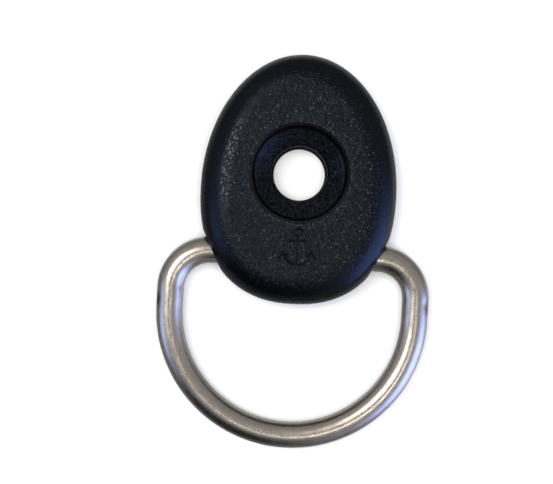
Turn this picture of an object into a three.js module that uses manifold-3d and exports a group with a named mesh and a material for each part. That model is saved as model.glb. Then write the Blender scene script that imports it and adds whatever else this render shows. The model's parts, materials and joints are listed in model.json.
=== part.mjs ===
// Pad eye: an egg-shaped nylon cover with one countersunk screw hole, a nylon keeper plate
// let into its underside, and a stainless D-ring whose straight bar turns between the two.
//
// Millimetres, +Z up. The origin is on the deck face (z = 0), under the middle of the ring's bar
// channel. +Y runs from the ring towards the screw hole and the narrow end, and X lies along
// the channel. Pieces that touch on the real fitting keep a gap of FIT here.

import * as THREE from "three";
import { mergeVertices } from "three/addons/utils/BufferGeometryUtils.js";
import Module from "manifold-3d";

const wasm = await Module();
wasm.setup();

// Driving dimensions

const FIT = 0.3; // gap between pieces that touch or turn on each other

// Cover: two half superellipses, meeting where the egg is widest
const HALF_WIDTH = 11.25;
const WIDEST_Y = 7.1;
const NARROW_LENGTH = 15.7; // from the widest line to the narrow end
const BROAD_LENGTH = 12.9; // from the widest line to the end over the ring
const NARROW_POWER = 2.0;
const BROAD_POWER = 2.3;
const HEIGHT = 6.5;
const SHOULDER = 3.4; // radius between the side wall and the flat top
const DRAFT = 0.12; // how far the side wall leans in up to the shoulder
const WALL = 1.8;
const RIB = 1.2;
const RIB_ANGLES = [8, 50, 90, 130, 172]; // degrees round the screw hole, from +X

// Screw hole, for a 5.5 mm (No. 12) countersunk screw with a 90 degree head 10.5 mm across
const HOLE_Y = 9.1;
const BORE_R = 3.2;
const PLATE_BORE_R = 2.95; // the plate's hole is a little smaller than the cover's
const BOSS_R = 5.2;
const HEAD_R = 5.25; // rim of the countersink
const HEAD_SINK = 0.9; // depth of that rim below the top
const LIP_R = 5.5; // top of the wall round the rim
const LIP_BREAK = 0.15; // chamfer on the top edge

// D-ring, 3 mm wire, 25 mm wide inside
const WIRE_R = 1.5;
const RING_HALF_WIDTH = 14.0; // to the middle of the wire, and the radius of the bow
const CORNER_R = 4.5; // to the middle of the wire
const ARM = 2.25; // straight between corner and bow
const WELD_GAP = 0.4; // between the wire's ends, in the middle of the bar
const WELD = { halfLength: 0.9, radius: 1.62 }; // bead that joins them

// Keeper plate and the channel that it closes
const PLATE = 1.0; // thickness
const SEAT_INSET = 1.5; // the plate's seat, a step inside the side wall
const CHANNEL_R = WIRE_R + FIT;
const KEEPER_FLOOR = 0.65; // plate left under the bar
const BAR_Z = KEEPER_FLOOR + CHANNEL_R;
const CHANNEL_PLAY = 0.1; // extra room each side of the bar in the middle
const CHANNEL_FLARE = THREE.MathUtils.degToRad(5); // the ring can lie askew by this much
const CHANNEL_WALL_Y = 4.2; // the cover is solid from the broad end up to here
const TONGUE_INSET = 0.15; // the plate's tongues end this far inside the side wall
const PEG_R = 1.0;
const PEG_TOP = 3.6;
const PEG_BOSS_R = 2.5;
const PEGS = [
  [0, 18.2],
  [7.0, 4.6],
  [-7.0, 4.6],
];
const SEAL_GROOVE = { inner: 4.3, outer: 5.1, depth: 0.3 }; // for sealant, round the hole

// Fineness of the curved surfaces
const OUTLINE_POINTS = 96;
const SHOULDER_STEPS = 7;
const HOLLOW_STEPS = 3; // round the hollow's upper edge
const ROUND_SEGMENTS = 48;
const CHANNEL_STEPS = 6; // in a quarter turn
const WIRE_SIDES = 20;
const WIRE_STEPS = 104;
const BEYOND = 1; // how far a cutter stands past what it cuts

// Helpers

// A closed three.js geometry as a solid that can be joined and cut
function solid(geometry) {
  const bare = geometry.clone();
  bare.deleteAttribute("normal");
  bare.deleteAttribute("uv");
  const merged = mergeVertices(bare, 1e-4);
  return new wasm.Manifold(
    new wasm.Mesh({
      numProp: 3,
      vertProperties: merged.attributes.position.array,
      triVerts: new Uint32Array(merged.index.array),
    }),
  );
}

// A solid as a three.js geometry
function geometryOf(made) {
  const mesh = made.getMesh();
  const geometry = new THREE.BufferGeometry();
  geometry.setAttribute("position", new THREE.BufferAttribute(mesh.vertProperties, 3));
  geometry.setIndex(new THREE.BufferAttribute(mesh.triVerts, 1));
  geometry.computeVertexNormals();
  return geometry;
}

function box(width, depth, height, x, y, z) {
  return solid(new THREE.BoxGeometry(width, depth, height).translate(x, y, z));
}

function cylinder(radius, low, high, x, y) {
  const shape = new THREE.CylinderGeometry(radius, radius, high - low, ROUND_SEGMENTS);
  return solid(shape.rotateX(Math.PI / 2).translate(x, y, (low + high) / 2));
}

// A solid turned about a vertical axis, from [radius, z] pairs listed upwards
function turned(profile, x, y) {
  const points = profile.map(([r, z]) => new THREE.Vector2(r, z));
  const shape = new THREE.LatheGeometry(points, ROUND_SEGMENTS);
  return solid(shape.rotateX(Math.PI / 2).translate(x, y, 0));
}

// The cover's outline, moved inwards along its normal by inset
function outline(inset) {
  const points = [];
  for (let i = 0; i < OUTLINE_POINTS; i++) {
    const angle = (2 * Math.PI * i) / OUTLINE_POINTS;
    const narrow = angle < Math.PI;
    const length = narrow ? NARROW_LENGTH : BROAD_LENGTH;
    const power = narrow ? NARROW_POWER : BROAD_POWER;
    const across = Math.abs(Math.cos(angle)) / HALF_WIDTH;
    const along = Math.abs(Math.sin(angle)) / length;
    const reach = (across ** power + along ** power) ** (-1 / power);
    const x = reach * Math.cos(angle);
    const y = reach * Math.sin(angle);
    const normal = new THREE.Vector2(
      (Math.sign(x) * (Math.abs(x) / HALF_WIDTH) ** (power - 1)) / HALF_WIDTH,
      (Math.sign(y) * (Math.abs(y) / length) ** (power - 1)) / length,
    ).normalize();
    points.push(new THREE.Vector2(x - inset * normal.x, WIDEST_Y + y - inset * normal.y));
  }
  return points;
}

// A closed solid through a row of sections, each the same number of [x, y, z] points taken
// anticlockwise as seen from the last section
function skinned(sections) {
  const n = sections[0].length;
  const faces = [];
  const cap = (first, flip) => {
    for (let i = 1; i < n - 1; i++) {
      faces.push(...(flip ? [first, first + i + 1, first + i] : [first, first + i, first + i + 1]));
    }
  };
  cap(0, true);
  cap((sections.length - 1) * n, false);
  for (let k = 0; k < sections.length - 1; k++) {
    for (let i = 0; i < n; i++) {
      const low = k * n + i;
      const lowNext = k * n + ((i + 1) % n);
      faces.push(low, lowNext, lowNext + n, low, lowNext + n, low + n);
    }
  }
  const geometry = new THREE.BufferGeometry();
  geometry.setAttribute("position", new THREE.Float32BufferAttribute(sections.flat(2), 3));
  geometry.setIndex(faces);
  return solid(geometry);
}

// A closed solid through copies of the outline, from [inset, z] pairs listed upwards
function loft(levels) {
  return skinned(levels.map(([inset, z]) => outline(inset).map((p) => [p.x, p.y, z])));
}

// The space that the ring's bar lies in, along X: round on top, widening in plan from the middle
// to the mouths, and open downwards if open is true
function channel(radius, open) {
  const sections = [-2 * HALF_WIDTH, 0, 2 * HALF_WIDTH].map((x) => {
    const spread = CHANNEL_PLAY + Math.abs(x) * Math.tan(CHANNEL_FLARE);
    const points = [];
    const quarter = (centre, first) => {
      for (let i = 0; i <= CHANNEL_STEPS; i++) {
        const angle = first + ((Math.PI / 2) * i) / CHANNEL_STEPS;
        points.push([x, centre + radius * Math.cos(angle), BAR_Z + radius * Math.sin(angle)]);
      }
    };
    quarter(spread, 0);
    quarter(-spread, Math.PI / 2);
    if (open) {
      points.push([x, -spread - radius, -BEYOND], [x, spread + radius, -BEYOND]);
    } else {
      quarter(-spread, Math.PI);
      quarter(spread, (3 * Math.PI) / 2);
    }
    return points;
  });
  return skinned(sections);
}

// Cover

// [inset, z] pairs round a shoulder, from a wall at inset up to a flat top
function shoulder(inset, top, radius, steps) {
  const levels = [];
  for (let i = 0; i <= steps; i++) {
    const angle = ((Math.PI / 2) * i) / steps;
    levels.push([inset + radius * (1 - Math.cos(angle)), top - radius * (1 - Math.sin(angle))]);
  }
  return levels;
}

// Outer shape: a side wall with a little draft, a round shoulder and a flat top
function coverSkin() {
  return loft([[0, 0], ...shoulder(DRAFT, HEIGHT, SHOULDER, SHOULDER_STEPS)]);
}

// Screw hole: bore, countersink, and the wall round the screw head
function screwHole() {
  const coneTop = HEIGHT - HEAD_SINK;
  const coneBottom = coneTop - (HEAD_R - BORE_R);
  return turned(
    [
      [0, -BEYOND],
      [BORE_R, -BEYOND],
      [BORE_R, coneBottom],
      [HEAD_R, coneTop],
      [LIP_R, HEIGHT - LIP_BREAK],
      [LIP_R + LIP_BREAK + BEYOND, HEIGHT + BEYOND],
      [0, HEIGHT + BEYOND],
    ],
    0,
    HOLE_Y,
  );
}

// What the moulding leaves standing in its hollow underside, above the plate
function coverInside() {
  const coneWall = LIP_R + WALL;
  const pieces = [
    turned(
      [
        [0, -BEYOND],
        [BOSS_R, -BEYOND],
        [BOSS_R, HEIGHT - HEAD_SINK - (coneWall - BOSS_R) - WALL],
        [coneWall, HEIGHT - HEAD_SINK - WALL],
        [coneWall, HEIGHT],
        [0, HEIGHT],
      ],
      0,
      HOLE_Y,
    ),
    box(4 * HALF_WIDTH, 4 * CHANNEL_WALL_Y, 2 * HEIGHT, 0, -CHANNEL_WALL_Y, 0),
  ];
  for (const degrees of RIB_ANGLES) {
    const rib = new THREE.BoxGeometry(2 * HALF_WIDTH, RIB, 2 * HEIGHT);
    rib.translate(HALF_WIDTH, 0, 0).rotateZ(THREE.MathUtils.degToRad(degrees));
    pieces.push(solid(rib.translate(0, HOLE_Y, 0)));
  }
  for (const [x, y] of PEGS) pieces.push(cylinder(PEG_BOSS_R, -BEYOND, HEIGHT, x, y));
  return pieces.reduce((a, b) => a.add(b));
}

function coverSolid() {
  const hollow = loft([
    [WALL, PLATE / 2],
    ...shoulder(WALL, HEIGHT - WALL, SHOULDER - WALL, HOLLOW_STEPS),
  ]);
  const plateSeat = loft([
    [SEAT_INSET, -BEYOND],
    [SEAT_INSET, PLATE + FIT],
  ]);
  const sockets = PEGS.map(([x, y]) => cylinder(PEG_R + FIT, PLATE / 2, PEG_TOP + FIT, x, y));
  return coverSkin()
    .subtract(hollow.subtract(coverInside()))
    .subtract(plateSeat)
    .subtract(sockets.reduce((a, b) => a.add(b)))
    .subtract(channel(CHANNEL_R, true))
    .subtract(screwHole());
}

// Keeper plate

function plateSolid() {
  const body = loft([
    [SEAT_INSET + FIT, 0],
    [SEAT_INSET + FIT, PLATE],
  ]);
  const tongues = loft([
    [TONGUE_INSET, 0],
    [TONGUE_INSET, PLATE],
  ]).intersect(channel(CHANNEL_R - FIT, true));
  const pegs = PEGS.map(([x, y]) => cylinder(PEG_R, PLATE / 2, PEG_TOP, x, y));
  const groove = cylinder(SEAL_GROOVE.outer, -BEYOND, SEAL_GROOVE.depth, 0, HOLE_Y).subtract(
    cylinder(SEAL_GROOVE.inner, -2 * BEYOND, PLATE, 0, HOLE_Y),
  );
  return [body, tongues, ...pegs]
    .reduce((a, b) => a.add(b))
    .subtract(channel(CHANNEL_R, false))
    .subtract(cylinder(PLATE_BORE_R, -BEYOND, PLATE + BEYOND, 0, HOLE_Y))
    .subtract(groove);
}

// D-ring

// The middle of the wire, from one end at the weld round to the other: the bar lies along X
// through the origin, and the bow towards -Y
class RingPath extends THREE.Curve {
  constructor() {
    super();
    const cornerX = RING_HALF_WIDTH - CORNER_R;
    const bowY = -CORNER_R - ARM;
    this.arcLengthDivisions = 2000;
    this.flat = new THREE.Path();
    this.flat.moveTo(-WELD_GAP / 2, 0);
    this.flat.lineTo(-cornerX, 0);
    this.flat.absarc(-cornerX, -CORNER_R, CORNER_R, Math.PI / 2, Math.PI, false);
    this.flat.lineTo(-RING_HALF_WIDTH, bowY);
    this.flat.absarc(0, bowY, RING_HALF_WIDTH, Math.PI, 2 * Math.PI, false);
    this.flat.lineTo(RING_HALF_WIDTH, -CORNER_R);
    this.flat.absarc(cornerX, -CORNER_R, CORNER_R, 0, Math.PI / 2, false);
    this.flat.lineTo(WELD_GAP / 2, 0);
  }

  getPoint(t, target = new THREE.Vector3()) {
    const p = this.flat.getPoint(t);
    return target.set(p.x, p.y, 0);
  }
}

function ringSolid() {
  const section = new THREE.Shape().absarc(0, 0, WIRE_R, 0, 2 * Math.PI, false);
  const wire = new THREE.ExtrudeGeometry(section, {
    steps: WIRE_STEPS,
    curveSegments: WIRE_SIDES / 2,
    extrudePath: new RingPath(),
  });
  const bead = [
    [0, -WELD.halfLength],
    [WIRE_R - FIT, -WELD.halfLength],
    [WELD.radius, -WELD.halfLength / 3],
    [WELD.radius, WELD.halfLength / 3],
    [WIRE_R - FIT, WELD.halfLength],
    [0, WELD.halfLength],
  ];
  const points = bead.map(([r, along]) => new THREE.Vector2(r, along));
  const weld = new THREE.LatheGeometry(points, ROUND_SEGMENTS / 2).rotateZ(Math.PI / 2);
  return solid(wire).add(solid(weld));
}

// How far the ring tilts down, so that its bow lies on the deck
function ringDrop() {
  const reach = CORNER_R + ARM + RING_HALF_WIDTH;
  return Math.asin((BAR_Z - WIRE_R) / reach);
}

// Assembly

const nylon = new THREE.MeshStandardMaterial({ color: 0x14151a, roughness: 0.5, metalness: 0 });
const keeperNylon = new THREE.MeshStandardMaterial({ color: 0x1a1b1e, roughness: 0.6, metalness: 0 });
const stainless = new THREE.MeshStandardMaterial({ color: 0xb4b2ac, roughness: 0.3, metalness: 1 });

function named(name, geometry, material) {
  const mesh = new THREE.Mesh(geometry, material);
  mesh.name = name;
  return mesh;
}

const padEye = new THREE.Group();
padEye.name = "pad_eye";
padEye.add(named("cover", geometryOf(coverSolid()), nylon));
padEye.add(named("keeper_plate", geometryOf(plateSolid()), keeperNylon));

const ring = named("d_ring", geometryOf(ringSolid()), stainless);
ring.position.z = BAR_Z;
ring.rotation.x = ringDrop();
padEye.add(ring);

export default padEye;
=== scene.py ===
import json
import math

import bmesh
import bpy
import numpy as np
from mathutils import Matrix, Vector


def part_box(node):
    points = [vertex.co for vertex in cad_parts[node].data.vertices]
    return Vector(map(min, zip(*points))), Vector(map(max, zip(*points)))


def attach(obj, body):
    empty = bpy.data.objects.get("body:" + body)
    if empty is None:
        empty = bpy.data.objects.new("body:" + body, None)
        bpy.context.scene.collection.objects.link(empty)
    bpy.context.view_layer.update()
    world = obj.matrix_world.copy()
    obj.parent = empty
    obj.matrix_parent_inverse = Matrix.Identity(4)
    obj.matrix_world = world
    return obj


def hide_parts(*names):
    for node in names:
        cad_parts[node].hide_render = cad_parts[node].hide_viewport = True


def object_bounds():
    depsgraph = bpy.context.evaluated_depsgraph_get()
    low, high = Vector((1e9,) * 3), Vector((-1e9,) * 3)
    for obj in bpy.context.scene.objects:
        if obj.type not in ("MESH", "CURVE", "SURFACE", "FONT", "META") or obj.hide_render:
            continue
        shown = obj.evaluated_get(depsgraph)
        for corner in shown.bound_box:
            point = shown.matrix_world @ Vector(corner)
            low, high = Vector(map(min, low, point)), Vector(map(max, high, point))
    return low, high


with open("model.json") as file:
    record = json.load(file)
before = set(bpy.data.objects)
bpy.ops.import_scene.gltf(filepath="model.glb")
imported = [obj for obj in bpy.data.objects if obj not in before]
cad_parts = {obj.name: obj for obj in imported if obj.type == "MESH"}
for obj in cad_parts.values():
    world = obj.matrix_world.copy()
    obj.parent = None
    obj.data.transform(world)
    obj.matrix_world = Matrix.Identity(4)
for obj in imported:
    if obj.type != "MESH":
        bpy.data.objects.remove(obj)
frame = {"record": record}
cad_low, cad_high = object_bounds()

# Shapes are worked out in millimetres, and put() turns the finished meshes into metres
MM = 0.001

cover_low, cover_high = (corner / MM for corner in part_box("cover"))
ring_low, ring_high = (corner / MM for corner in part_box("d_ring"))
plate_low, plate_high = (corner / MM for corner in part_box("keeper_plate"))
BAR_Z = frame["record"]["behaviour"]["joints"][0]["pos_m"][2] / MM

# Cover: two half superellipses that meet where the egg is widest
HALF_WIDTH = cover_high.x
HEIGHT = cover_high.z
WIDEST_Y = 7.1
NARROW_LENGTH = cover_high.y - WIDEST_Y
BROAD_LENGTH = WIDEST_Y - cover_low.y
NARROW_POWER = 2.0
BROAD_POWER = 2.3
SHOULDER = 3.4
DRAFT = 0.12
FOOT_EDGE = 0.18  # radius of the edges at the deck and round the mouths
CROWN = 0.03  # how much higher the top is at the screw hole than at its edge
SEAT_INSET = 1.5  # the keeper plate's seat, a step inside the side wall
SEAT_Z = 1.3

# Screw hole
HOLE_Y = 9.1
BORE_R = 3.2
PLATE_BORE_R = 2.95
HEAD_R = 5.2  # upper rim of the cone
HEAD_Z = HEIGHT - 1.05
CONE_FOOT_Z = HEAD_Z - (HEAD_R - BORE_R)
LIP_R = 5.58
LIP_FLAT = 0.5  # width of the level ring round the lip
WALL_R = 5.42  # foot of the steep wall below the lip
WALL_Z = HEIGHT - 0.75
# Radii of the edges: at the lip, the wall's foot, the cone's rim and the bore
HOLE_EDGES = (0.12, 0.15, 0.1, 0.05)

# Ring channel and its mouths
WIRE_R = 1.5
FIT = 0.3
CHANNEL_R = WIRE_R + FIT
CHANNEL_PLAY = 0.1  # extra room each side of the bar in the middle
CHANNEL_FLARE = math.radians(5)  # the ring can lie askew by this much
CHANNEL_REACH = 8.7  # the straight part ends inside the mouths, on a slant like the wall's
CHANNEL_SLANT = 0.5
MOUTH_LOW_Y = -2.65
MOUTH_HIGH_Y = 2.8
MOUTH_TOP = BAR_Z + CHANNEL_R + 0.05  # a little above the channel
MOUTH_POWER = 2.6
MOUTH_DEPTH = 1.75
MOUTH_LEAN = 0.1  # how much deeper it is at the deck
MOUTH_BLEND = 2.3  # the wall's rows turn back from the mouth's direction over this distance

# D-ring
RING_HALF_WIDTH = ring_high.x - WIRE_R
CORNER_R = 4.5
ARM = 2.25  # straight between corner and bow
WELD_RISE = 0.12
WELD_LENGTH = 0.7
WIRE_WAVE = 0.006  # the drawn wire's radius isn't quite even
WAVE_RATES = (1.9, 0.73)  # radians per millimetre
WAVE_SHIFT = 1.1

# Keeper plate
PLATE = 1.0
TONGUE_INSET = 0.15
PLATE_EDGE = 0.12  # chamfer round the lower face
PEG_R = 1.0
PEG_EDGE = 0.3
PEG_TOP = plate_high.z
PEGS = ((0.0, 18.2), (7.0, 4.6), (-7.0, 4.6))
GROOVE = (4.3, 5.1, 0.3)  # inner radius, outer radius, depth

# Engraved mark, a small plain anchor between the hole and the broad end
MARK_CENTRE = (0.2, 0.6)
MARK_SIZE = 1.15
MARK_REACH = 3.2  # the mark lies inside this distance of its centre
MARK_DEPTH = 0.3  # and above this depth
MARK_CUT_R = 0.12
MARK_SINK = 0.14  # how far the strokes' centres lie below the top
STROKE_TALL = 3.0  # a stroke's upper half over its radius

# Finish of the cover. The top's grain and paler colour fade out down the shoulder, between two
# depths below the top.
FULL_DEPTH = 0.05
GRAIN_DEPTH = 0.6
PALE_DEPTH = 0.9
SIDE_GRAIN = 0.25  # grain left on the shoulder and the side wall
CONE_GRAIN = 0.8
SOFT = 0.1  # over this distance a finish gives way to the next one

# Grain lightened round the lip, as wear and painted highlight, and a painted highlight on one side
# where the top turns down
LIP_WEAR_AND_HIGHLIGHT = 0.5  # how strong the lip's wear and painted highlight is beside the painted highlight on that side
LIP_WEAR_AND_HIGHLIGHT_R = LIP_R + 0.25
LIP_WEAR_AND_HIGHLIGHT_WIDTH = 0.2
HIGHLIGHT_SIDE = math.radians(163)
HIGHLIGHT_SIDE_COSINES = (0.8, 0.95)  # of the angle to that side, from no painted highlight to full
HIGHLIGHT_FROM = 2.3  # inset from the outline
HIGHLIGHT_TO = 3.7
HIGHLIGHT_FADE = (0.3, 0.4)  # it fades in over the first distance, and out over the second

# Patches on the outside of the ring's arms, just below the bends, a brown one on the right and a
# dark one on the left that is a painted reflection of a dark object: place, size, colour, share
ARM_PATCHES = (
    ((14.9, -5.4), 1.1, (0.16, 0.09, 0.04, 1), 0.9),
    ((-15.3, -5.9), 1.0, (0.06, 0.05, 0.04, 1), 0.9),
)

# Camera, looking straight down from above the deck
CAMERA_PLACE = (-2.19, 1.26, 200.0)
CAMERA_LENS = 112.7
CAMERA_ROLL = math.radians(3.09)

# Studio. One soft lamp straight above lights the floor and the matt surfaces. What the metal and
# the nylon mirror is the surroundings: dim walls with soft bright and dark patches.
LAMP_HEIGHT = 600.0
LAMP_SIZE = 360.0
LAMP_POWER = 3.4
FLOOR_REACH = 1500.0
FLOOR_DROP = 0.02  # the floor lies this far below the fitting
WALLS = (0.35, 0.35, 0.35, 1)
SKIRTING = (0.13, 0.14, 0.15, 1)  # just below the horizon
DECK = (0.29, 0.29, 0.29, 1)  # straight below
# Bright patches: azimuth, elevation, half width and half height in degrees, colour
PATCHES = (
    (160, 63, 13, 14, (6.6, 6.4, 6.0, 1)),  # window high on the left
    (297, 71, 6, 6, (6.5, 6.3, 6.0, 1)),  # ceiling light
    (196, 22, 14, 24, (0.5, 0.7, 1.5, 1)),  # daylight low on the left
    (335, 4, 27, 34, (1.05, 1.45, 3.4, 1)),  # daylight low on the right
    (350, -38, 35, 22, (0.35, 0.33, 0.30, 1)),  # the deck on the right
    (100, -50, 45, 25, (0.28, 0.28, 0.27, 1)),  # the deck behind
)
# Dark patches: the same, with the share of the light that they take
SHADES = (
    (246, 16, 40, 44, 0.97),  # someone standing in front
    (70, 22, 60, 30, 0.2),  # behind
    (240, 84, 15, 13, 0.55),  # the camera, nearly straight above
)
PATCH_CORE = 0.45  # a patch has its full strength inside this share of its size
PATCH_REACH = 1.3  # and none beyond this one

# Fineness of the meshes
NARROW_COLUMNS = 260
MOUTH_COLUMNS = 36
BROAD_COLUMNS = 72
FOOT_STEPS = 5
WALL_ROWS = 44
TOP_ROWS = 8
TOP_CROWDING = 1.6  # how far the top's rows crowd towards its edge
HOLE_EDGE_STEPS = 6
HOLE_ROW = 0.4  # greatest distance between rows in the screw hole
CHANNEL_STEPS = 12  # in a quarter turn
PLATE_COLUMNS = 300
ROD_SIDES = 72
BORE_SIDES = 120
STROKE_SIDES = 16
STROKE_ENDS = (30, 55, 80)  # degrees round a stroke's rounded end
WIRE_STATIONS = 620
WIRE_SIDES = 56
PATH_POINTS = 200  # on each piece of the ring's path, before it is divided evenly
OUTLINE_TABLE = 2000  # points in which a place on the outline is looked up
WALL_TABLE = 60  # points of the side wall's and the shoulder's profile
SHOULDER_TABLE = 200
SAME_POINT = 0.002  # points closer than this are joined after a cut
BEYOND = 1.0  # how far a cutter stands past what it cuts
NYLON_CREASE = 28  # faces that meet at more than this angle, in degrees, have a sharp edge
WIRE_CREASE = 60


def mesh_object(name, points, faces):
    """A mesh object from points in millimetres."""
    mesh = bpy.data.meshes.new(name)
    mesh.from_pydata(np.asarray(points, float).tolist(), [], faces)
    mesh.update()
    made = bpy.data.objects.new(name, mesh)
    bpy.context.scene.collection.objects.link(made)
    return made


def loops_to_faces(count, size, closed):
    """Quads between count loops of size points each, back to the first loop if closed."""
    faces = []
    for k in range(count if closed else count - 1):
        low = k * size
        high = ((k + 1) % count) * size
        for i in range(size):
            j = (i + 1) % size
            faces.append((low + i, low + j, high + j, high + i))
    return faces


def capped_faces(count, size):
    """Quads between count loops of size points each, and a face over each end."""
    faces = loops_to_faces(count, size, False)
    faces.append(tuple(reversed(range(size))))
    faces.append(tuple(range((count - 1) * size, count * size)))
    return faces


def cut(target, cutters, operation="DIFFERENCE"):
    """Applies a boolean with each cutter and deletes it."""
    for cutter in cutters:
        modifier = target.modifiers.new("cut", "BOOLEAN")
        modifier.operation = operation
        modifier.solver = "EXACT"
        modifier.object = cutter
        graph = bpy.context.evaluated_depsgraph_get()
        mesh = bpy.data.meshes.new_from_object(target.evaluated_get(graph))
        target.modifiers.clear()
        old = target.data
        target.data = mesh
        bpy.data.meshes.remove(old)
        bpy.data.meshes.remove(cutter.data)
        work = bmesh.new()
        work.from_mesh(mesh)
        bmesh.ops.remove_doubles(work, verts=work.verts, dist=SAME_POINT)
        work.to_mesh(mesh)
        work.free()


def smooth_by_angle(made, degrees):
    """Smooth shading, with sharp edges where two faces meet at more than that angle."""
    work = bmesh.new()
    work.from_mesh(made.data)
    limit = math.radians(degrees)
    for face in work.faces:
        face.smooth = True
    for edge in work.edges:
        edge.smooth = len(edge.link_faces) == 2 and edge.calc_face_angle() < limit
    work.to_mesh(made.data)
    work.free()


def rounded(corners, radii, steps):
    """A polyline through corners, each inner corner rounded to its radius."""
    points = [np.array(corners[0], float)]
    for before, here, after, radius in zip(corners, corners[1:], corners[2:], radii):
        here = np.array(here, float)
        back = np.array(before, float) - here
        on = np.array(after, float) - here
        back /= np.linalg.norm(back)
        on /= np.linalg.norm(on)
        half = math.acos(np.clip(back @ on, -1, 1)) / 2
        middle = here + (back + on) / np.linalg.norm(back + on) * radius / math.sin(half)
        start = here + back * radius / math.tan(half) - middle
        end = here + on * radius / math.tan(half) - middle
        sweep = math.pi - 2 * half
        for k in range(steps + 1):
            a = math.sin(sweep * (1 - k / steps)) / math.sin(sweep)
            b = math.sin(sweep * k / steps) / math.sin(sweep)
            points.append(middle + a * start + b * end)
    points.append(np.array(corners[-1], float))
    return points


# The egg


def egg(theta):
    """Points of the cover's outline and its outward normals there, for angles about its middle."""
    theta = np.asarray(theta, float)
    narrow = np.sin(theta) > 0
    length = np.where(narrow, NARROW_LENGTH, BROAD_LENGTH)
    power = np.where(narrow, NARROW_POWER, BROAD_POWER)
    across = np.abs(np.cos(theta)) / HALF_WIDTH
    along = np.abs(np.sin(theta)) / length
    reach = (across**power + along**power) ** (-1 / power)
    x = reach * np.cos(theta)
    y = reach * np.sin(theta)
    normal = np.stack(
        [
            np.sign(x) * (np.abs(x) / HALF_WIDTH) ** (power - 1) / HALF_WIDTH,
            np.sign(y) * (np.abs(y) / length) ** (power - 1) / length,
        ],
        axis=1,
    )
    normal /= np.linalg.norm(normal, axis=1, keepdims=True)
    return np.stack([x, y + WIDEST_Y], axis=1), normal


def angle_at(y):
    """The angle at which the right side of the outline is at y, below the widest line."""
    table = np.linspace(-math.pi / 2, 0, OUTLINE_TABLE)
    return np.interp(y, egg(table)[0][:, 1], table)


def columns():
    """The angles of the cover's columns, anticlockwise, and how high each starts."""
    along = -np.cos(np.pi * np.arange(MOUTH_COLUMNS) / MOUTH_COLUMNS)
    middle = (MOUTH_HIGH_Y + MOUTH_LOW_Y) / 2
    half = (MOUTH_HIGH_Y - MOUTH_LOW_Y) / 2
    low = float(angle_at(MOUTH_LOW_Y))
    high = float(angle_at(MOUTH_HIGH_Y))
    start = MOUTH_TOP * (1 - np.abs(along) ** MOUTH_POWER) ** (1 / MOUTH_POWER)
    right = angle_at(middle + half * along)
    left = math.pi - angle_at(middle - half * along)
    narrow = np.linspace(high, math.pi - high, NARROW_COLUMNS, endpoint=False)
    broad = np.linspace(math.pi - low, 2 * math.pi + low, BROAD_COLUMNS, endpoint=False)
    angles = np.concatenate([narrow, left, broad, right])
    starts = np.concatenate([0 * narrow, start, 0 * broad, start])
    return angles, starts


def wall_profile():
    """Inset and height of the cover's outside from the deck to its top, and distance along it."""
    wall_top = [DRAFT, HEIGHT - CROWN - SHOULDER]
    wall = np.linspace([0, 0], wall_top, WALL_TABLE, endpoint=False)
    turn = np.linspace(0, math.pi / 2, SHOULDER_TABLE)
    arc = np.stack(
        [
            DRAFT + SHOULDER * (1 - np.cos(turn)),
            HEIGHT - CROWN - SHOULDER * (1 - np.sin(turn)),
        ],
        axis=1,
    )
    profile = np.concatenate([wall, arc])
    steps = np.linalg.norm(np.diff(profile, axis=0), axis=1)
    return profile, np.concatenate([[0], np.cumsum(steps)])


def cover_loops():
    """The cover's surface as closed loops: up the outside, over the top, down the hole, and
    back along the underside."""
    angles, starts = columns()
    edge, normal = egg(angles)
    profile, distance = wall_profile()

    def loop(inset, z, inward=normal):
        inset = np.broadcast_to(inset, angles.shape)[:, None]
        z = np.broadcast_to(z, angles.shape)[:, None]
        return np.hstack([edge - inset * inward, z])

    def inset_at(z):
        return np.interp(z, profile[:, 1], profile[:, 0])

    loops = []
    foot = starts + FOOT_EDGE
    for turn in np.linspace(0, math.pi / 2, FOOT_STEPS, endpoint=False):
        inset = inset_at(foot) + FOOT_EDGE * (1 - math.sin(turn))
        loops.append(loop(inset, foot - FOOT_EDGE * math.cos(turn)))
    first = np.interp(foot, profile[:, 1], distance)
    for share in np.linspace(0, 1, WALL_ROWS):
        here = first + (distance[-1] - first) * share
        inset = np.interp(here, distance, profile[:, 0])
        loops.append(loop(inset, np.interp(here, distance, profile[:, 1])))

    hole = rounded(
        [
            (LIP_R + LIP_FLAT, HEIGHT),
            (LIP_R, HEIGHT),
            (WALL_R, WALL_Z),
            (HEAD_R, HEAD_Z),
            (BORE_R, CONE_FOOT_Z),
            (BORE_R, 0),
        ],
        HOLE_EDGES,
        HOLE_EDGE_STEPS,
    )
    inner = loops[-1]
    centre = np.array([0, HOLE_Y])
    away = inner[:, :2] - centre
    away /= np.linalg.norm(away, axis=1, keepdims=True)
    rim = centre + away * hole[0][0]
    for k in range(TOP_ROWS):
        share = ((k + 1) / TOP_ROWS) ** TOP_CROWDING
        rise = CROWN * share * share * (3 - 2 * share)
        flat = inner[:, :2] + (rim - inner[:, :2]) * share
        loops.append(np.hstack([flat, np.full((len(angles), 1), HEIGHT - CROWN + rise)]))
    for (r0, z0), (r1, z1) in zip(hole, hole[1:]):
        parts = max(1, round(math.hypot(r1 - r0, z1 - z0) / HOLE_ROW))
        for k in range(parts):
            share = (k + 1) / parts
            circle = centre + away * (r0 + (r1 - r0) * share)
            loops.append(np.hstack([circle, np.full((len(angles), 1), z0 + (z1 - z0) * share)]))

    inward = mouth_way(edge, normal)
    loops.append(loop(MOUTH_DEPTH + MOUTH_LEAN, 0, inward))
    loops.append(loop(MOUTH_DEPTH, starts, inward))
    return loops


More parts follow.
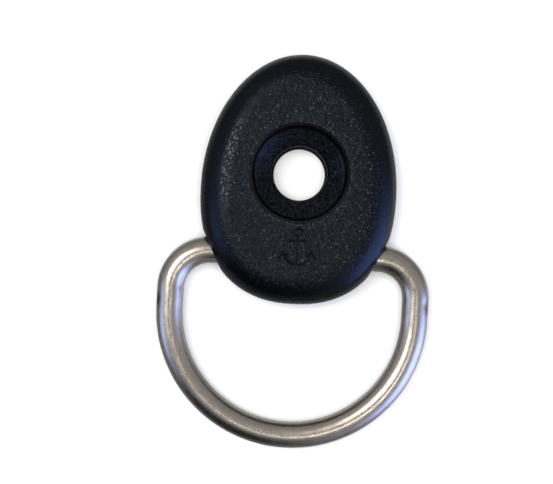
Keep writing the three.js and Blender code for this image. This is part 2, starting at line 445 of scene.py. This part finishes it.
def mouth_way(edge, normal):
    """Outward directions that are the wall's normals, but lie along the channel at the mouths."""
    y = edge[:, 1]
    beyond = np.maximum(np.maximum(MOUTH_LOW_Y - y, y - MOUTH_HIGH_Y), 0) / MOUTH_BLEND
    beyond = np.minimum(beyond, 1)
    share = (1 - beyond * beyond * (3 - 2 * beyond))[:, None]
    sideways = np.stack([np.sign(edge[:, 0]), 0 * y], axis=1)
    way = normal + (sideways - normal) * share
    return way / np.linalg.norm(way, axis=1, keepdims=True)


def channel_cutter(radius, reach, bottom):
    """The ring's channel along X, widening to the mouths. It goes down to bottom, or is round
    below too if bottom is None."""

    def station(end, flat, z):
        """A point of the section at one end, moved along the slant of that end."""
        side, out = flat
        y = side * (CHANNEL_PLAY + abs(end) * math.tan(CHANNEL_FLARE)) + out
        x = end + math.copysign(CHANNEL_SLANT * y, end) if end else 0.0
        return (x, side * (CHANNEL_PLAY + abs(x) * math.tan(CHANNEL_FLARE)) + out, z)

    sections = []
    for end in (-reach, 0, reach):
        points = []
        for side, first in ((1, 0), (-1, 1), (-1, 2), (1, 3)):
            if bottom is not None and first > 1:
                points.append(station(end, (side, side * radius), bottom))
                continue
            for k in range(CHANNEL_STEPS + 1):
                turn = (first + k / CHANNEL_STEPS) * math.pi / 2
                out = radius * math.cos(turn)
                points.append(station(end, (side, out), BAR_Z + radius * math.sin(turn)))
        sections.append(points)
    faces = capped_faces(len(sections), len(sections[0]))
    return mesh_object("channel", [p for s in sections for p in s], faces)


def rod(name, radius, low, high, x, y, sides=ROD_SIDES, edge=0.0):
    """An upright rod, with its upper edge cut back by edge."""
    levels = [(radius, low), (radius, high - edge)]
    if edge:
        levels.append((radius - edge, high))
    turn = 2 * np.pi * np.arange(sides) / sides
    points = []
    for r, z in levels:
        points += np.stack([x + r * np.cos(turn), y + r * np.sin(turn), 0 * turn + z], 1).tolist()
    return mesh_object(name, points, capped_faces(len(levels), sides))


def stroke(points, radius, z):
    """A cutter along points in plan, round below and tall above, with rounded ends unless it
    closes on itself."""
    path = np.array([(x, y, z) for x, y in points])
    closed = np.allclose(path[0], path[-1])
    if closed:
        path = path[:-1]
        steps = np.roll(path, -1, axis=0) - np.roll(path, 1, axis=0)
    else:
        steps = np.gradient(path, axis=0)
    tangents = steps / np.linalg.norm(steps, axis=1, keepdims=True)
    stations = [(p, t, 1.0) for p, t in zip(path, tangents)]
    if not closed:
        for degrees in STROKE_ENDS:
            turn = math.radians(degrees)
            reach = radius * math.sin(turn)
            stations.insert(0, (path[0] - tangents[0] * reach, tangents[0], math.cos(turn)))
            stations.append((path[-1] + tangents[-1] * reach, tangents[-1], math.cos(turn)))
    around = 2 * np.pi * np.arange(STROKE_SIDES) / STROKE_SIDES
    rings = []
    for centre, tangent, share in stations:
        side = np.array([-tangent[1], tangent[0], 0])
        rise = np.sin(around) * np.where(np.sin(around) > 0, STROKE_TALL, 1.0)
        offsets = np.outer(np.cos(around), side) + np.outer(rise, [0, 0, 1])
        rings.append(centre + offsets * radius * share)
    if closed:
        faces = loops_to_faces(len(rings), STROKE_SIDES, True)
    else:
        faces = capped_faces(len(rings), STROKE_SIDES)
    return mesh_object("stroke", np.concatenate(rings), faces)


def arc_points(x, y, radius, first, last, count):
    """Points along an arc between two angles in degrees."""
    turn = np.radians(np.linspace(first, last, count))
    return [(x + radius * math.cos(a), y + radius * math.sin(a)) for a in turn]


def mark_cutters():
    """The strokes of the anchor: eye, stock, shank, arms and flukes."""
    x, y = MARK_CENTRE
    size = MARK_SIZE
    lines = [
        arc_points(0, 1.62, 0.36, 0, 360, 25),
        [(-0.78, 0.82), (0.78, 0.82)],
        [(0, 1.28), (0, -1.5)],
        arc_points(0, -0.1, 1.42, 200, 340, 23),
        [(-1.72, -0.86), (-1.36, -0.24), (-0.9, -0.72)],
        [(1.72, -0.86), (1.36, -0.24), (0.9, -0.72)],
    ]
    lines = [[(x + size * across, y + size * up) for across, up in line] for line in lines]
    return [stroke(line, MARK_CUT_R, HEIGHT - MARK_SINK) for line in lines]


def shade_weight(made, name, weight):
    """A number on each vertex, from its place in millimetres."""
    points = np.zeros(len(made.data.vertices) * 3)
    made.data.vertices.foreach_get("co", points)
    values = weight(points.reshape(-1, 3))
    layer = made.data.attributes.new(name, "FLOAT", "POINT")
    layer.data.foreach_set("value", values.astype(np.float32))


def finish_cover(cover):
    """Gives the cover's points the weights that its material reads."""

    def from_hole(p):
        return np.hypot(p[:, 0], p[:, 1] - HOLE_Y)

    def outside(p):
        return np.clip((from_hole(p) - LIP_R) / SOFT, 0, 1)

    def near_top(p, depth):
        return np.clip((p[:, 2] - (HEIGHT - depth)) / (depth - FULL_DEPTH), 0, 1)

    def cone(p):
        above = np.clip((p[:, 2] - CONE_FOOT_Z - SOFT) / SOFT, 0, 1)
        return above * np.clip((HEAD_R + 0.2 * SOFT - from_hole(p)) / SOFT, 0, 1)

    def grain(p):
        level = SIDE_GRAIN + (1 - SIDE_GRAIN) * near_top(p, GRAIN_DEPTH)
        return outside(p) * level + CONE_GRAIN * cone(p)

    def top(p):
        return outside(p) * near_top(p, PALE_DEPTH)

    def wear_and_highlight(p):
        """Lightened grain: wear and painted highlight round the hole's lip, and a painted highlight
        where the top turns down into the shoulder on one side.
        """
        lip = np.exp(-(((from_hole(p) - LIP_WEAR_AND_HIGHLIGHT_R) / LIP_WEAR_AND_HIGHLIGHT_WIDTH) ** 2))
        lip *= p[:, 2] > HEIGHT - 2 * SOFT
        edge, normal = egg(np.arctan2(p[:, 1] - WIDEST_Y, p[:, 0]))
        inset = ((edge - p[:, :2]) * normal).sum(axis=1)
        # painted highlight on one side, where the top turns down into the shoulder
        side_highlight = np.clip((inset - HIGHLIGHT_FROM) / HIGHLIGHT_FADE[0], 0, 1)
        side_highlight *= np.clip((HIGHLIGHT_TO - inset) / HIGHLIGHT_FADE[1], 0, 1)
        side = (edge[:, 1] - WIDEST_Y) * math.sin(HIGHLIGHT_SIDE) + edge[:, 0] * math.cos(HIGHLIGHT_SIDE)
        side /= np.hypot(edge[:, 0], edge[:, 1] - WIDEST_Y)
        none, full = HIGHLIGHT_SIDE_COSINES
        side_highlight *= np.clip((side - none) / (full - none), 0, 1)
        return np.maximum(LIP_WEAR_AND_HIGHLIGHT * lip, side_highlight * (p[:, 2] > HEIGHT - SHOULDER))

    def groove(p):
        """The mark's strokes and the steep wall below the lip, which have no grain and are painted
        dark as shade.
        """
        near = np.hypot(p[:, 0] - MARK_CENTRE[0], p[:, 1] - MARK_CENTRE[1]) < MARK_REACH
        sunk = np.clip((HEIGHT - CROWN - p[:, 2]) / (SOFT / 2), 0, 1)
        mark = near * sunk * (p[:, 2] > HEIGHT - MARK_DEPTH)
        ring = (from_hole(p) < LIP_R) * (from_hole(p) > HEAD_R - SOFT / 2)
        return np.maximum(mark, ring * (p[:, 2] > HEAD_Z - 2 * SOFT))

    weights = {"grain": grain, "top": top, "cone": cone, "wear_and_highlight": wear_and_highlight, "groove": groove}
    for name, weight in weights.items():
        shade_weight(cover, name, weight)


def make_cover():
    """The moulding, with the plate's seat and sockets, the ring's channel and the mark cut in."""
    loops = cover_loops()
    faces = loops_to_faces(len(loops), len(loops[0]), True)
    cover = mesh_object("cover_moulding", np.concatenate(loops), faces)
    foot = SEAT_Z - BEYOND
    sockets = [rod("socket", PEG_R + FIT, foot, PEG_TOP + FIT, x, y) for x, y in PEGS]
    seat = plate_prism(SEAT_INSET, -BEYOND, SEAT_Z, 0.0)
    channel = channel_cutter(CHANNEL_R, CHANNEL_REACH, -BEYOND)
    cut(cover, [seat, channel, *sockets, *mark_cutters()])
    smooth_by_angle(cover, NYLON_CREASE)
    finish_cover(cover)
    return cover


# D-ring


def ring_path():
    """Stations along the middle of the wire: place, direction and distance from the weld."""
    corner_x = RING_HALF_WIDTH - CORNER_R
    bow_y = -CORNER_R - ARM
    pieces = [
        ("line", (0, 0), (-corner_x, 0)),
        ("arc", (-corner_x, -CORNER_R), CORNER_R, 90, 180),
        ("line", (-RING_HALF_WIDTH, -CORNER_R), (-RING_HALF_WIDTH, bow_y)),
        ("arc", (0, bow_y), RING_HALF_WIDTH, 180, 360),
        ("line", (RING_HALF_WIDTH, bow_y), (RING_HALF_WIDTH, -CORNER_R)),
        ("arc", (corner_x, -CORNER_R), CORNER_R, 0, 90),
        ("line", (corner_x, 0), (0, 0)),
    ]
    fine = []
    for piece in pieces:
        for share in np.linspace(0, 1, PATH_POINTS, endpoint=False):
            if piece[0] == "line":
                start = np.array(piece[1], float)
                fine.append(start + (np.array(piece[2], float) - start) * share)
            else:
                middle, radius, first, last = piece[1:]
                turn = math.radians(first + (last - first) * share)
                fine.append(np.array(middle) + radius * np.array([math.cos(turn), math.sin(turn)]))
    fine = np.array(fine + [fine[0]])
    distance = np.concatenate([[0], np.cumsum(np.linalg.norm(np.diff(fine, axis=0), axis=1))])
    at = np.linspace(0, distance[-1], WIRE_STATIONS, endpoint=False)
    place = np.stack([np.interp(at, distance, fine[:, k]) for k in (0, 1)], axis=1)
    tangent = np.roll(place, -1, axis=0) - np.roll(place, 1, axis=0)
    tangent /= np.linalg.norm(tangent, axis=1, keepdims=True)
    return place, tangent, at, distance[-1]


def make_ring():
    """The wire, swept round its path and leaning down from its bar until its bow lies down."""
    place, tangent, at, total = ring_path()
    from_weld = np.minimum(at, total - at)
    radius = WIRE_R + WELD_RISE * np.exp(-((from_weld / WELD_LENGTH) ** 2))
    radius += WIRE_WAVE * np.sin(at * WAVE_RATES[0]) * np.sin(at * WAVE_RATES[1] + WAVE_SHIFT)
    drop = math.asin((BAR_Z - WIRE_R) / (CORNER_R + ARM + RING_HALF_WIDTH))
    turn = 2 * np.pi * np.arange(WIRE_SIDES) / WIRE_SIDES
    rows = []
    for (x, y), (tx, ty), r in zip(place, tangent, radius):
        across = np.stack([-ty * np.cos(turn), tx * np.cos(turn), np.sin(turn)], axis=1) * r
        rows.append(across + [x, y, 0])
    points = np.concatenate(rows)
    y = points[:, 1].copy()
    z = points[:, 2].copy()
    points[:, 1] = y * math.cos(drop) - z * math.sin(drop)
    points[:, 2] = y * math.sin(drop) + z * math.cos(drop) + BAR_Z
    ring = mesh_object("ring_wire", points, loops_to_faces(WIRE_STATIONS, WIRE_SIDES, True))
    along = np.repeat(at, WIRE_SIDES)
    around = np.tile(turn, WIRE_STATIONS)
    layer = ring.data.attributes.new("wire", "FLOAT_VECTOR", "POINT")
    along_and_around = np.stack([along, WIRE_R * np.cos(around), WIRE_R * np.sin(around)], axis=1)
    layer.data.foreach_set("vector", along_and_around.astype(np.float32).ravel())
    smooth_by_angle(ring, WIRE_CREASE)
    return ring


# Keeper plate


def plate_prism(inset, low, high, edge):
    """The egg's outline as a plate, with its lower edge cut back by edge."""
    theta = np.linspace(0, 2 * np.pi, PLATE_COLUMNS, endpoint=False)
    line, normal = egg(theta)
    points = []
    levels = [(edge, low), (0, low + edge), (0, high)] if edge else [(0, low), (0, high)]
    for extra, z in levels:
        flat = line - (inset + extra) * normal
        points += np.hstack([flat, np.full((PLATE_COLUMNS, 1), z)]).tolist()
    return mesh_object("plate", points, capped_faces(len(levels), PLATE_COLUMNS))


def make_plate():
    """The keeper plate, with its pegs and tongues, its bore and the groove round it."""
    plate = plate_prism(SEAT_INSET + FIT, 0, PLATE, PLATE_EDGE)
    plate.name = "keeper"
    tongues = plate_prism(TONGUE_INSET, 0, PLATE, PLATE_EDGE)
    cut(tongues, [channel_cutter(CHANNEL_R - FIT, 2 * HALF_WIDTH, -BEYOND)], "INTERSECT")
    pegs = [rod("peg", PEG_R, PLATE / 2, PEG_TOP, x, y, edge=PEG_EDGE) for x, y in PEGS]
    cut(plate, [tongues, *pegs], "UNION")
    inner, outer, depth = GROOVE
    groove = rod("groove", outer, -BEYOND, depth, 0, HOLE_Y, BORE_SIDES)
    cut(groove, [rod("core", inner, -2 * BEYOND, depth + BEYOND, 0, HOLE_Y, BORE_SIDES)])
    bore = rod("bore", PLATE_BORE_R, -BEYOND, PLATE + BEYOND, 0, HOLE_Y, BORE_SIDES)
    cut(plate, [channel_cutter(CHANNEL_R, 2 * HALF_WIDTH, None), bore, groove])
    smooth_by_angle(plate, NYLON_CREASE)
    return plate


# Materials


class Nodes:
    """A node tree, built one node at a time."""

    def __init__(self, owner):
        owner.use_nodes = True
        self.owner = owner
        self.tree = owner.node_tree

    def join(self, socket, value):
        """Links an output to an input socket, or sets the socket's own value."""
        if isinstance(value, bpy.types.NodeSocket):
            self.tree.links.new(value, socket)
        else:
            socket.default_value = value

    def add(self, kind, inputs, output=0, **settings):
        """Adds a node with its settings and inputs, and returns one of its outputs."""
        node = self.tree.nodes.new(kind)
        for key, value in settings.items():
            setattr(node, key, value)
        for key, value in inputs.items():
            self.join(node.inputs[key], value)
        return node.outputs[output]

    def math(self, operation, a, b=0.0, clamp=False):
        return self.add("ShaderNodeMath", {0: a, 1: b}, operation=operation, use_clamp=clamp)

    def object_mm(self):
        """Object coordinates in millimetres."""
        place = self.add("ShaderNodeTexCoord", {}, "Object")
        return self.add("ShaderNodeVectorMath", {0: place, "Scale": 1 / MM}, operation="SCALE")

    def attribute(self, name, output="Fac"):
        return self.add("ShaderNodeAttribute", {}, output, attribute_name=name)

    def stretched(self, vector, scale):
        return self.add("ShaderNodeVectorMath", {0: vector, 1: scale}, operation="MULTIPLY")

    def dot(self, vector, along):
        inputs = {0: vector, 1: tuple(along)}
        return self.add("ShaderNodeVectorMath", inputs, "Value", operation="DOT_PRODUCT")

    def noise(self, vector, size, detail=2.0, rough=0.5):
        """Noise with features of that size, from 0 to 1."""
        inputs = {"Vector": vector, "Scale": 1 / size, "Detail": detail, "Roughness": rough}
        return self.add("ShaderNodeTexNoise", inputs, "Fac")

    def cells(self, vector, size):
        """Distance from scattered points that lie about size apart."""
        return self.add("ShaderNodeTexVoronoi", {"Vector": vector, "Scale": 1 / size}, "Distance")

    def ramp(self, value, low, high, out_low=0.0, out_high=1.0):
        """A soft step from out_low to out_high, as value goes from low to high."""
        inputs = {"Value": value, "From Min": low, "From Max": high}
        inputs.update({"To Min": out_low, "To Max": out_high})
        return self.add("ShaderNodeMapRange", inputs, interpolation_type="SMOOTHSTEP")

    def mix(self, share, a, b, how="MIX"):
        """Colour a, with b mixed in by share."""
        return self.add("ShaderNodeMix", {0: share, 6: a, 7: b}, 2, data_type="RGBA", blend_type=how)

    def bump(self, height, depth):
        """A normal from a height between 0 and 1 that stands for depth in millimetres."""
        return self.add("ShaderNodeBump", {"Height": height, "Distance": depth * MM})

    def finish(self, **inputs):
        """Sets the shader's inputs and returns the material."""
        shader = self.tree.nodes["Principled BSDF"]
        for key, value in inputs.items():
            self.join(shader.inputs[key.replace("_", " ")], value)
        return self.owner


def cover_nylon():
    """Black moulded nylon with a spark-eroded grain, strongest on the top."""
    n = Nodes(bpy.data.materials.new("cover_nylon"))
    place = n.object_mm()
    grainy = n.attribute("grain")
    top = n.attribute("top")
    cone = n.attribute("cone")
    wear_and_highlight = n.attribute("wear_and_highlight")
    groove = n.attribute("groove")
    pebble = n.noise(place, 0.36, 2.0, 0.5)
    fine = n.noise(place, 0.16, 2.0, 0.5)
    speck = n.noise(place, 0.22, 1.0, 0.5)
    grainy = n.math("SUBTRACT", grainy, groove, True)
    flecks_and_glints = n.math("MULTIPLY", n.ramp(speck, 0.6, 0.78), n.math("POWER", grainy, 2.0))
    broad = n.noise(place, 3.5, 3.0, 0.55)
    mottle = n.ramp(n.math("ADD", pebble, n.math("MULTIPLY", broad, 0.3)), 0.5, 0.8)
    base = n.mix(broad, (0.0005, 0.0006, 0.0008, 1), (0.0012, 0.0013, 0.0016, 1))
    base = n.mix(top, base, n.mix(mottle, (0.0006, 0.0006, 0.0008, 1), (0.0026, 0.0029, 0.0034, 1)))
    base = n.mix(cone, base, n.mix(mottle, (0.0006, 0.0008, 0.0011, 1), (0.0070, 0.0082, 0.0100, 1)))
    # light flecks in the grain: a lighter grain tone, and partly painted glints
    base = n.mix(n.math("MULTIPLY", flecks_and_glints, 0.85), base, (0.055, 0.055, 0.058, 1))
    peaks = n.ramp(n.noise(place, 0.24, 2.0), 0.5, 0.66)
    # painted highlight: grain peaks lightened on one side where the top turns down, and round the
    # lip as wear and painted highlight
    base = n.mix(n.math("MULTIPLY", wear_and_highlight, peaks), base, (0.085, 0.085, 0.088, 1))
    # painted shade in the mark's strokes and on the steep wall below the lip
    base = n.mix(groove, base, (0.0006, 0.0006, 0.0008, 1))
    rough = n.ramp(fine, 0.3, 0.7, 0.2, 0.3)
    height = n.math("ADD", pebble, n.math("MULTIPLY", fine, 0.8))
    height = n.math("MULTIPLY", height, grainy)
    return n.finish(
        Base_Color=base,
        Roughness=rough,
        Specular_IOR_Level=0.28,
        # the bluish specular tint is a painted blue cast on the nylon's reflections
        Specular_Tint=(0.58, 0.73, 0.95, 1),
        Normal=n.bump(height, 0.085),
    )


def keeper_nylon():
    """Plain black moulded nylon with faint flow marks and scuffs."""
    n = Nodes(bpy.data.materials.new("keeper_nylon"))
    place = n.object_mm()
    broad = n.noise(place, 4.0, 3.0, 0.5)
    fine = n.noise(place, 0.35, 3.0, 0.6)
    scuffs = n.ramp(n.noise(n.stretched(place, (3.0, 0.35, 1.0)), 0.7, 4.0, 0.7), 0.62, 0.75)
    base = n.mix(broad, (0.0020, 0.0022, 0.0026, 1), (0.0045, 0.0050, 0.0056, 1))
    base = n.mix(n.math("MULTIPLY", scuffs, 0.35), base, (0.05, 0.05, 0.048, 1))
    rough = n.ramp(fine, 0.3, 0.7, 0.38, 0.52)
    height = n.math("SUBTRACT", fine, n.math("MULTIPLY", scuffs, 0.4))
    return n.finish(
        Base_Color=base,
        Roughness=rough,
        Specular_IOR_Level=0.27,
        # the bluish specular tint is a painted blue cast on the nylon's reflections
        Specular_Tint=(0.77, 0.88, 1.0, 1),
        Normal=n.bump(height, 0.02),
    )


def stainless():
    """Drawn stainless wire, with die lines along it, pits, scratches, and patches below the bends,
    the dark one a painted reflection.
    """
    n = Nodes(bpy.data.materials.new("stainless_wire"))
    place = n.object_mm()
    wire = n.attribute("wire", "Vector")
    lines = n.noise(n.stretched(wire, (0.12, 1.0, 1.0)), 0.12, 3.0, 0.6)
    cloud = n.noise(place, 1.1, 5.0, 0.65)
    speck = n.noise(place, 0.16, 2.0, 0.6)
    pits = n.ramp(n.cells(place, 0.75), 0.05, 0.13, 1.0, 0.0)
    pits = n.math("MULTIPLY", pits, n.ramp(n.noise(place, 2.2, 1.0), 0.5, 0.6))
    base = n.mix(cloud, (0.53, 0.475, 0.415, 1), (0.70, 0.635, 0.56, 1))
    base = n.mix(n.math("MULTIPLY", lines, 0.15), base, (0.42, 0.38, 0.33, 1))
    # patches below the bends: a brown one on the right, and on the left a painted reflection of a
    # dark object
    for (x, y), size, colour, share in ARM_PATCHES:
        inputs = {0: place, 1: (x, y, BAR_Z)}
        away = n.add("ShaderNodeVectorMath", inputs, "Value", operation="DISTANCE")
        ragged = n.math("ADD", away, n.math("MULTIPLY", n.noise(place, 0.7, 4.0, 0.7), size))
        base = n.mix(n.ramp(ragged, size * 0.9, size * 1.8, share, 0.0), base, colour)
    base = n.mix(n.math("MULTIPLY", pits, 0.6), base, (0.10, 0.085, 0.07, 1))
    rough = n.math("ADD", n.ramp(lines, 0.3, 0.7, 0.24, 0.33), n.math("MULTIPLY", pits, 0.25))
    height = n.math("ADD", n.math("MULTIPLY", lines, 0.3), n.math("MULTIPLY", speck, 0.7))
    height = n.math("SUBTRACT", height, pits)
    return n.finish(Base_Color=base, Metallic=1.0, Roughness=rough, Normal=n.bump(height, 0.006))


# Pieces on the frame


def put(made, material, body, node):
    """Turns a piece into metres, and makes it ride on its body in its node's place."""
    made.data.transform(Matrix.Scale(MM, 4))
    made.data.materials.clear()
    made.data.materials.append(material)
    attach(made, body)
    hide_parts(node)


cover = make_cover()
put(cover, cover_nylon(), "base", "cover")

keeper = make_plate()
put(keeper, keeper_nylon(), "base", "keeper_plate")

ring = make_ring()
put(ring, stainless(), "ring", "d_ring")


# Studio


def make_floor():
    """A plain pale sheet that the fitting lies on. The metal doesn't mirror it."""
    reach = FLOOR_REACH
    z = cad_low.z / MM - FLOOR_DROP
    corners = [(-reach, -reach, z), (reach, -reach, z), (reach, reach, z), (-reach, reach, z)]
    floor = mesh_object("floor", corners, [(0, 1, 2, 3)])
    floor.data.transform(Matrix.Scale(MM, 4))
    paint = Nodes(bpy.data.materials.new("floor"))
    floor.data.materials.append(paint.finish(Base_Color=(0.86, 0.86, 0.86, 1), Roughness=0.9))
    floor.visible_glossy = False


def make_lamp():
    """A square soft light straight above, which isn't itself mirrored."""
    light = bpy.data.lights.new("lamp", "AREA")
    light.shape = "SQUARE"
    light.size = LAMP_SIZE * MM
    light.energy = LAMP_POWER
    made = bpy.data.objects.new("lamp", light)
    bpy.context.scene.collection.objects.link(made)
    made.location = (0, HOLE_Y * MM, LAMP_HEIGHT * MM)
    made.visible_glossy = False


def direction(azimuth, elevation):
    """A unit vector from two angles in degrees."""
    a = math.radians(azimuth)
    e = math.radians(elevation)
    return Vector((math.cos(a) * math.cos(e), math.sin(a) * math.cos(e), math.sin(e)))


def patch(n, way, azimuth, elevation, half_width, half_height):
    """1 inside an oval patch of the surroundings, falling softly to 0 round it."""
    centre = direction(azimuth, elevation)
    right = direction(azimuth + 90, 0)
    up = centre.cross(right)
    across = n.math("DIVIDE", n.dot(way, right), math.sin(math.radians(half_width)))
    along = n.math("DIVIDE", n.dot(way, up), math.sin(math.radians(half_height)))
    away = n.math("ADD", n.math("MULTIPLY", across, across), n.math("MULTIPLY", along, along))
    inside = n.ramp(n.math("SQRT", away), PATCH_CORE, PATCH_REACH, 1.0, 0.0)
    return n.math("MULTIPLY", inside, n.math("GREATER_THAN", n.dot(way, centre), 0.0))


def make_surroundings():
    """What the metal and the nylon mirror."""
    world = bpy.data.worlds.new("studio")
    n = Nodes(world)
    way = n.add("ShaderNodeTexCoord", {}, "Generated")
    height = n.dot(way, (0, 0, 1))
    colour = n.mix(n.ramp(height, -0.8, -0.2), DECK, SKIRTING)
    colour = n.mix(n.ramp(height, -0.2, 0.15), colour, WALLS)
    for *shape, share in SHADES:
        dark = n.math("MULTIPLY", patch(n, way, *shape), share)
        colour = n.mix(dark, colour, (0.0, 0.0, 0.0, 1))
    for *shape, light in PATCHES:
        colour = n.mix(patch(n, way, *shape), colour, light, "ADD")
    n.join(n.tree.nodes["Background"].inputs["Color"], colour)
    bpy.context.scene.world = world


def make_camera():
    """Straight above the fitting, as a close product photograph is taken."""
    lens = bpy.data.cameras.new("camera")
    lens.sensor_width = 36.0
    lens.lens = CAMERA_LENS
    lens.clip_start = 0.01
    camera = bpy.data.objects.new("camera", lens)
    bpy.context.scene.collection.objects.link(camera)
    camera.location = Vector(CAMERA_PLACE) * MM
    camera.rotation_euler = (0, 0, CAMERA_ROLL)
    bpy.context.scene.camera = camera


make_floor()
make_lamp()
make_surroundings()
make_camera()
bpy.context.scene.view_settings.view_transform = "Standard"
